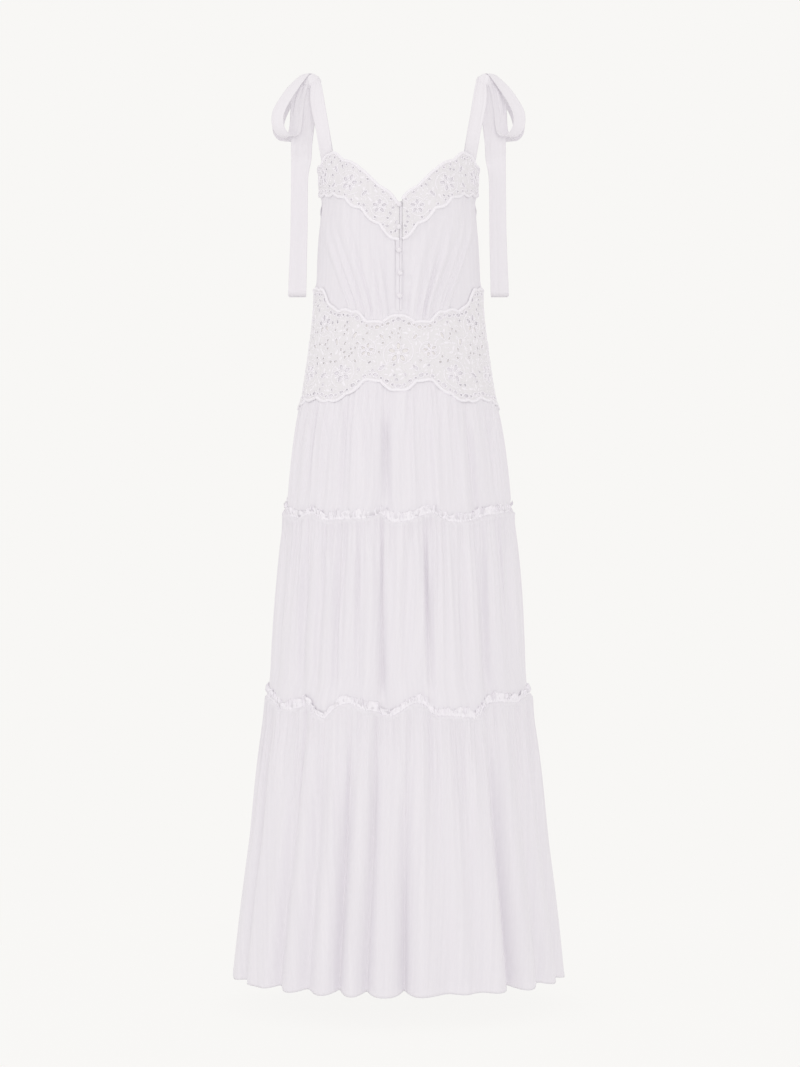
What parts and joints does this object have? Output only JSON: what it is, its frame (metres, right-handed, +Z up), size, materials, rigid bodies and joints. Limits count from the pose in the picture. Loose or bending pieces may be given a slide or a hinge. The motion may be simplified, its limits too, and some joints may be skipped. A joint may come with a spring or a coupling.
{
  "type": "maxi dress",
  "caption": "Sleeveless tiered maxi dress with tied shoulder straps, a buttoned sweetheart bodice, and an eyelet lace bust trim and waist band, hollow as when worn.",
  "frame": {"origin": "midway between the two shoulder knots, at the height where the straps rest on the shoulders", "axes": "+Z up, -Y the way the front faces, +X to the wearer's left"},
  "size_m": [0.5627, 0.4327, 1.533],
  "materials": {
    "voile": "matt crisp white cotton voile with a fine plain weave",
    "lining": "plain matt off-white cotton",
    "lace": "white cotton eyelet embroidery with raised satin stitches",
    "buttons": "small round buttons covered with white cloth"
  },
  "bodies": {
    "root": {"bodice_front_left": "voile", "bodice_front_right": "voile", "bodice_back": "voile", "button_placket": "voile", "button_1": "buttons", "button_2": "buttons", "button_3": "buttons", "button_4": "buttons", "button_5": "buttons", "bust_lace_left": "lace", "bust_lace_right": "lace", "waist_lace_front": "lace", "waist_lace_back": "lace", "waist_lining_front": "lining", "waist_lining_back": "lining", "first_tier_front": "voile", "first_tier_back": "voile", "second_tier_front": "voile", "second_tier_back": "voile", "third_tier_front": "voile", "third_tier_back": "voile", "upper_frill_front": "voile", "upper_frill_back": "voile", "lower_frill_front": "voile", "lower_frill_back": "voile", "shoulder_knot_left": "voile", "shoulder_knot_right": "voile", "front_strap_left": "voile", "front_strap_right": "voile", "back_strap_left": "voile", "back_strap_right": "voile", "front_loop_left": "voile", "front_loop_right": "voile", "back_loop_left": "voile", "back_loop_right": "voile", "front_tail_left": "voile", "front_tail_right": "voile", "back_tail_left": "voile", "back_tail_right": "voile"}
  },
  "joints": []
}
